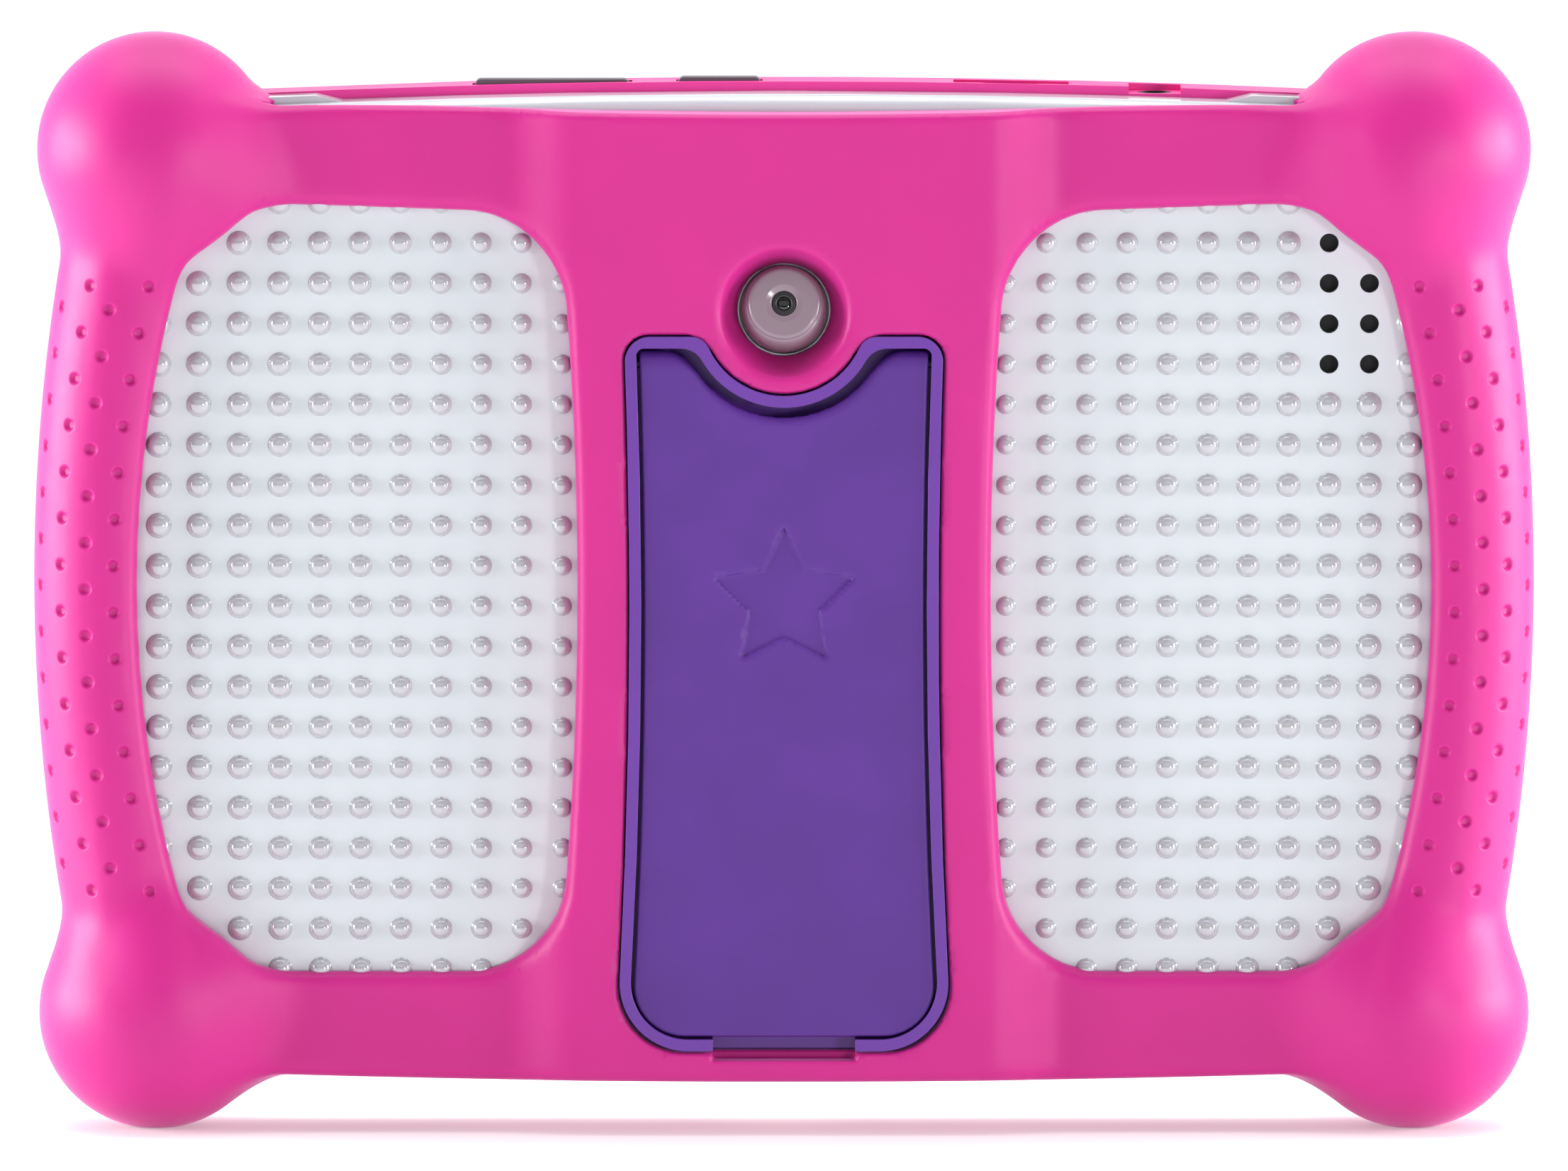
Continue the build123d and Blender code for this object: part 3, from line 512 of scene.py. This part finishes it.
def clean_copy(node):
    """A welded copy of a CAD node's mesh, as a bmesh in metres."""
    bm = bmesh.new()
    bm.from_mesh(frame["nodes"][node].data)
    bmesh.ops.remove_doubles(bm, verts=bm.verts, dist=1e-6)
    bmesh.ops.dissolve_limit(bm, angle_limit=radians(0.6), verts=bm.verts, edges=bm.edges)
    return bm


def finish_mesh(bm, name, sharp=SHARP):
    """Smooth-shaded mesh with its sharp edges marked."""
    mesh = bpy.data.meshes.new(name)
    bm.to_mesh(mesh)
    bm.free()
    mesh.shade_smooth()
    mesh.set_sharp_from_angle(angle=radians(sharp))
    return mesh


def soften(obj, width, angle=SHARP):
    """Rounds the edges that are sharper than an angle."""
    bevel = obj.modifiers.new("edges", "BEVEL")
    bevel.width = width * MM
    bevel.segments = 3
    bevel.limit_method = "ANGLE"
    bevel.angle_limit = radians(angle)
    bevel.harden_normals = True
    bevel.miter_outer = "MITER_ARC"


def softened(node, width, angle=SHARP):
    """Stands for a CAD node with the same shape and rounded edges."""
    name = node + "_soft"
    mesh = finish_mesh(clean_copy(node), name, angle)
    slot = slot_of[node]
    obj = new_object(name, mesh, shaders[slot], body_of[node], [node])
    soften(obj, width, angle)


def paint_cad_nodes():
    """Gives every CAD node the shader of its slot; the hinge pins get a near-black painted shade,
    so that they sink into the shaded gap at the hinge.
    """
    for node, obj in frame["nodes"].items():
        obj.data.materials.clear()
        slot = "pin_painted_shade" if node == "stand_pins" else slot_of[node]
        obj.data.materials.append(shaders[slot].material)


# ---- bumper ------------------------------------------------------------------------------
def skin(name, field, low, high, step, passes):
    """A mesh of a field in millimetres, finer where it turns; passes are (angle, shortest)."""
    points, faces = net(field, low, high, step)
    points = settle(field, points)
    mesh = bpy.data.meshes.new(name)
    mesh.from_pydata(points.tolist(), [], faces.tolist())
    bm = bmesh.new()
    bm.from_mesh(mesh)
    for angle, shortest in passes:
        refine(bm, field, angle, shortest)
    return mesh, bm


def close_skin(mesh, bm):
    """Puts a finished skin into its mesh, in metres."""
    bm.to_mesh(mesh)
    bm.free()
    mesh.vertices.foreach_set("co", to_metres([v.co for v in mesh.vertices]).ravel())
    mesh.shade_smooth()
    mesh.update()


def dimple_spots():
    """Centres of the small dimples on both grips, in four bent columns a side."""
    spots = []
    for start, bend, shift in DIMPLE_COLUMNS:
        rows = [i + shift for i in range(-7, 7)] if shift else range(-6, 7)
        for row in rows:
            z = row * DIMPLE_STEP
            x = start - bend * (z / BEND_Z) ** 2
            depth = np.linspace(-16.0, 6.0, 441)
            value = bumper_field(np.full_like(depth, x), depth, np.full_like(depth, z))
            inside = np.nonzero(value < 0)[0]
            if len(inside):
                spots += [(x, depth[inside[0]], z), (-x, depth[inside[0]], z)]
    return np.array(spots)


def press_dimples(bm, radius=0.95, depth=0.6):
    """Presses a round dimple into the skin at every spot, on a locally finer mesh."""
    spots = dimple_spots()

    def nearest():
        """All points, and how far each is from the nearest spot."""
        bm.verts.ensure_lookup_table()
        bm.verts.index_update()
        points = np.array([v.co for v in bm.verts])
        gap = np.full(len(points), 99.0)
        near = np.nonzero((np.abs(points[:, 0]) > 94.0) & (np.abs(points[:, 2]) < 50.0))[0]
        for spot in spots:
            gap[near] = np.minimum(gap[near], length(*(points[near] - spot).T))
        return points, gap

    for reach, shortest in ((2.0, 0.7), (1.35, 0.4), (1.2, 0.25)):
        gap = nearest()[1]
        edges = []
        for e in bm.edges:
            near = min(gap[v.index] for v in e.verts) < reach
            if near and e.calc_length() > shortest:
                edges.append(e)
        divide(bm, bumper_field, edges)
    points, gap = nearest()
    pressed = np.nonzero(gap < radius * 1.3)[0]
    slope = gradient(bumper_field, points[pressed])
    slope /= length(*slope.T)[:, None]
    share = 1.0 - smooth((gap[pressed] / radius - 0.5) / 0.65)
    for index, point in zip(pressed, points[pressed] - slope * (share * depth)[:, None]):
        bm.verts[index].co = point


def make_bumper():
    """The silicone bumper with its dimpled grips."""
    mesh, bm = skin(
        "bumper_skin", bumper_field, (-116.4, -19.4, -86.4), (116.4, 19.4, 86.4), 1.2,
        ((16.0, 0.9), (20.0, 0.45)),
    )
    press_dimples(bm)
    close_skin(mesh, bm)
    slot = slot_of["bumper"]
    new_object("bumper_skin", mesh, shaders[slot], "tablet", ["bumper"])


def make_leg():
    """The kickstand's flap."""
    mesh, bm = skin(
        "stand_leg_skin", leg_field, (-26.4, -15.6, -70.4), (26.4, -8.4, 38.4), 0.6,
        ((16.0, 0.4), (20.0, 0.2)),
    )
    close_skin(mesh, bm)
    slot = slot_of["stand_leg"]
    new_object("stand_leg_skin", mesh, shaders[slot], body_of["stand_leg"], ["stand_leg"])


# ---- camera ------------------------------------------------------------------------------
def weld(bm):
    """Joins points that coincide, and turns every face outwards."""
    bmesh.ops.remove_doubles(bm, verts=bm.verts, dist=1e-6)
    bmesh.ops.recalc_face_normals(bm, faces=bm.faces)


def lathe(bm, profile, tilt=0.0, sides=96):
    """Turns (radius, y) points about the camera's axis; a radius of 0 closes the shape."""
    rings = []
    pivot = (COVER_BACK, CAMERA_Z)
    lean = radians(tilt)
    for radius, y in profile:
        ring = []
        for i in range(sides if radius > 0 else 1):
            a = 2 * pi * i / sides
            along, up = y - pivot[0], radius * sin(a)
            ring.append(bm.verts.new((
                radius * cos(a) * MM,
                (pivot[0] + along * cos(lean) + up * sin(lean)) * MM,
                (pivot[1] - along * sin(lean) + up * cos(lean) + MID_Z) * MM,
            )))
        rings.append(ring)
    for low, high in zip(rings, rings[1:]):
        m, n = len(low), len(high)
        for i in range(sides):
            j = (i + 1) % sides
            corners = dict.fromkeys((low[i % m], low[j % m], high[j % n], high[i % n]))
            if len(corners) > 2:
                bm.faces.new(list(corners))


def turn(radius, centre, start, stop, steps):
    """Points of a circular edge in a profile, between two angles in degrees."""
    spread = [radians(start + (stop - start) * i / steps) for i in range(steps + 1)]
    return [(centre[0] + radius * cos(a), centre[1] + radius * sin(a)) for a in spread]


def make_camera_barrel():
    """Tilted nose with a rounded face, a step line and a soft dish, on a flange inside."""
    face, root, foot = BARREL_FACE_Y, -9.0, -7.6
    bore_r, inner_r, collar_r, flange_r = 1.9, 4.9, 6.3, 8.6
    flange_back, flange_front = -6.2, -5.4
    bm = bmesh.new()
    nose = [(bore_r, root), (bore_r, face + 0.55)]
    nose += turn(0.35, (2.25, face + 0.55), 180, 250, 4)
    nose += turn(0.45, (2.95, face + 0.45), 240, 270, 4)
    nose += turn(0.75, (4.85, face + 0.75), 270, 350, 8)
    nose += [(5.50, face + 0.92), (5.50, face + 1.02), (5.70, face + 1.06), (5.84, face + 1.20)]
    nose += [(6.15, face + 2.1), (6.42, face + 3.5), (6.58, face + 5.0), (6.62, foot)]
    nose += [(inner_r, foot), (inner_r, root), (bore_r, root)]
    lathe(bm, nose, CAMERA_TILT)
    flange = [(inner_r, COVER_BACK), (collar_r, COVER_BACK), (collar_r, flange_back)]
    flange += [(flange_r, flange_back), (flange_r, flange_front), (inner_r, flange_front)]
    lathe(bm, flange + flange[:1])
    weld(bm)
    mesh = finish_mesh(bm, "camera_barrel_turned", 40.0)
    slot = slot_of["camera_barrel"]
    new_object("camera_barrel_turned", mesh, shaders[slot], "tablet", ["camera_barrel"])


def make_camera_lens():
    """Black ring round a small domed glass."""
    back = BARREL_FACE_Y + 1.4
    front = BARREL_FACE_Y + 0.42
    glass_r, ring_r, glass_edge, glass_rise = 1.05, 1.88, front + 0.42, 0.3
    bm = bmesh.new()
    ring = [(glass_r, back), (glass_r, front + 0.25), (1.15, front + 0.12), (1.30, front + 0.02)]
    ring += [(1.38, front + 0.10), (1.46, front + 0.10), (1.54, front), (1.72, front)]
    ring += [(1.83, front + 0.06), (ring_r, front + 0.2), (ring_r, back), (glass_r, back)]
    lathe(bm, ring, CAMERA_TILT, 64)
    weld(bm)
    mesh = finish_mesh(bm, "rear_camera_ring", 50.0)
    slot = slot_of["rear_camera_lens"]
    black = shaders["part_black"]
    new_object("rear_camera_ring", mesh, black, "tablet", ["rear_camera_lens"])
    bm = bmesh.new()
    glass = [(0.0, back), (glass_r, back), (glass_r, glass_edge)]
    for a in (radians(d) for d in (20, 40, 60, 78)):
        glass.append((glass_r * cos(a), glass_edge - glass_rise * sin(a)))
    glass.append((0.0, glass_edge - glass_rise))
    lathe(bm, glass, CAMERA_TILT, 48)
    bmesh.ops.recalc_face_normals(bm, faces=bm.faces)
    mesh = finish_mesh(bm, "rear_camera_glass", 50.0)
    new_object("rear_camera_glass", mesh, shaders[slot], "tablet", ())


# ---- rear cover with its domes -----------------------------------------------------------
def dome_spots():
    """(x, z, radius) of every dome that a window shows, in part or whole."""
    spots = []
    for side in (-1, 1):
        for column in range(4, 17):
            for row in range(-11, 11):
                x = side * (column + 0.5) * DOME_X
                z = (row + 0.5) * DOME_Z
                holed = side > 0 and row in SPEAKER_HOLES.get(column, ())
                if not holed and window(x, z) < 1.4:
                    spots.append((x, z, 1.35 + 0.04 * (column - 5)))
    return spots


def add_dome(bm, x, z, radius, sides=20):
    """A steep glossy cap with a small flare where it meets the cover."""
    skirt, crown = 0.10, 0.68                # heights, as shares of the radius
    profile = [(1.16, -0.02), (1.0, skirt)]
    profile += [(cos(a), skirt + crown * sin(a)) for a in (radians(d) for d in (18, 38, 56, 72))]
    rings = []
    for reach, rise in profile:
        ring = []
        for i in range(sides):
            a = 2 * pi * i / sides
            ring.append(bm.verts.new((
                (x + cos(a) * reach * radius) * MM,
                (COVER_BACK - rise * radius) * MM,
                (z + sin(a) * reach * radius + MID_Z) * MM,
            )))
        rings.append(ring)
    for low, high in zip(rings, rings[1:]):
        for i in range(sides):
            j = (i + 1) % sides
            bm.faces.new((low[i], low[j], high[j], high[i]))
    rise = (skirt + crown) * radius
    tip = bm.verts.new((x * MM, (COVER_BACK - rise) * MM, (z + MID_Z) * MM))
    for i in range(sides):
        bm.faces.new((rings[-1][i], rings[-1][(i + 1) % sides], tip))


def make_cover():
    """The back shell with softened edges, and its domes as one piece."""
    mesh = finish_mesh(clean_copy("rear_cover"), "rear_cover_shell")
    slot = slot_of["rear_cover"]
    shell = new_object("rear_cover_shell", mesh, shaders[slot], "tablet", ["rear_cover"])
    soften(shell, 0.2)
    bm = bmesh.new()
    for x, z, radius in dome_spots():
        add_dome(bm, x, z, radius)
    mesh = finish_mesh(bm, "rear_cover_domes", 60.0)
    new_object("rear_cover_domes", mesh, shaders["dome_gloss"], "tablet", ())


# ---- room --------------------------------------------------------------------------------
def make_world():
    """Bright above and at the sides, darker on the side that the back of the tablet faces."""
    world = bpy.data.worlds.new("studio")
    bpy.context.scene.world = world
    world.use_nodes = True
    nodes, links = world.node_tree.nodes, world.node_tree.links
    place = nodes.new("ShaderNodeTexCoord")
    split = nodes.new("ShaderNodeSeparateXYZ")
    ramp = nodes.new("ShaderNodeValToRGB")
    span = nodes.new("ShaderNodeMapRange")
    span.inputs["From Min"].default_value = -1.0
    links.new(place.outputs["Generated"], split.inputs["Vector"])
    links.new(split.outputs["Y"], span.inputs["Value"])
    links.new(span.outputs["Result"], ramp.inputs["Fac"])
    ramp.color_ramp.elements[0].position = 0.18
    ramp.color_ramp.elements[0].color = (0.06, 0.06, 0.06, 1)
    ramp.color_ramp.elements[1].position = 0.47
    ramp.color_ramp.elements[1].color = (1.0, 1.0, 1.01, 1)
    back = nodes["Background"]
    links.new(ramp.outputs["Color"], back.inputs["Color"])
    back.inputs["Strength"].default_value = 1.12


def area_light(name, place, size, power):
    """A soft box that faces the tablet's middle and that the camera doesn't see."""
    data = bpy.data.lights.new(name, "AREA")
    data.shape = "RECTANGLE"
    data.size, data.size_y = size
    data.energy = power
    light = bpy.data.objects.new(name, data)
    bpy.context.scene.collection.objects.link(light)
    light.location = place
    light.rotation_mode = "QUATERNION"
    aim = Vector((0.0, 0.0, MID_Z * MM))
    light.rotation_quaternion = (aim - Vector(place)).to_track_quat("-Z", "Y")
    light.visible_camera = False


def make_lights():
    """Soft boxes above, high on the camera's side and at both ends, and one small glint."""
    area_light("top_box", (0.0, 0.12, 1.3), (1.5, 0.8), 11.0)
    area_light("high_front_box", (0.0, -1.5, 0.85), (2.4, 0.9), 3.6)
    area_light("left_box", (-1.3, -0.02, 0.24), (1.0, 0.46), 24.0)
    area_light("right_box", (1.3, -0.02, 0.24), (1.0, 0.46), 21.0)
    area_light("glint", (1.0, -1.5, 0.12), (0.22, 0.22), 7.0)


def make_floor():
    """A plain pale floor that glows a little, so that it stays pale far away."""
    mesh = bpy.data.meshes.new("floor")
    reach = 30.0
    corners = [(-reach, -reach, 0), (reach, -reach, 0), (reach, reach, 0), (-reach, reach, 0)]
    mesh.from_pydata(corners, [], [(0, 1, 2, 3)])
    floor = bpy.data.objects.new("floor", mesh)
    bpy.context.scene.collection.objects.link(floor)
    pale = Shader("floor_pale", (0.80, 0.80, 0.80), 0.7)
    pale.main.inputs["Emission Color"].default_value = (1, 1, 1, 1)
    pale.main.inputs["Emission Strength"].default_value = 0.26
    mesh.materials.append(pale.material)


def make_camera():
    """Looks at the back from slightly above, from far away."""
    distance, elevation, frame_width, sensor = 5.0, radians(6.0), 0.2406, 36.0
    aim_drop = 0.76                          # millimetres below the tablet's middle
    data = bpy.data.cameras.new("camera")
    data.sensor_width = sensor
    data.lens = distance * sensor / frame_width
    data.clip_end = 100.0
    camera = bpy.data.objects.new("camera", data)
    bpy.context.scene.collection.objects.link(camera)
    target = Vector((0.0, 0.0, (MID_Z - aim_drop) * MM))
    back = Vector((0.0, -cos(elevation), sin(elevation)))
    camera.location = target + back * distance
    camera.rotation_mode = "QUATERNION"
    camera.rotation_quaternion = (-back).to_track_quat("-Z", "Y")
    bpy.context.scene.camera = camera


bpy.context.scene.view_settings.view_transform = "Standard"
make_camera()
make_world()
make_lights()
make_floor()
paint_cad_nodes()
make_bumper()
make_cover()
softened("stand_frame", 0.35)
make_leg()
make_camera_barrel()
make_camera_lens()
softened("front_bezel", 0.25, 40.0)
softened("power_button", 0.2)
softened("volume_rocker", 0.2)
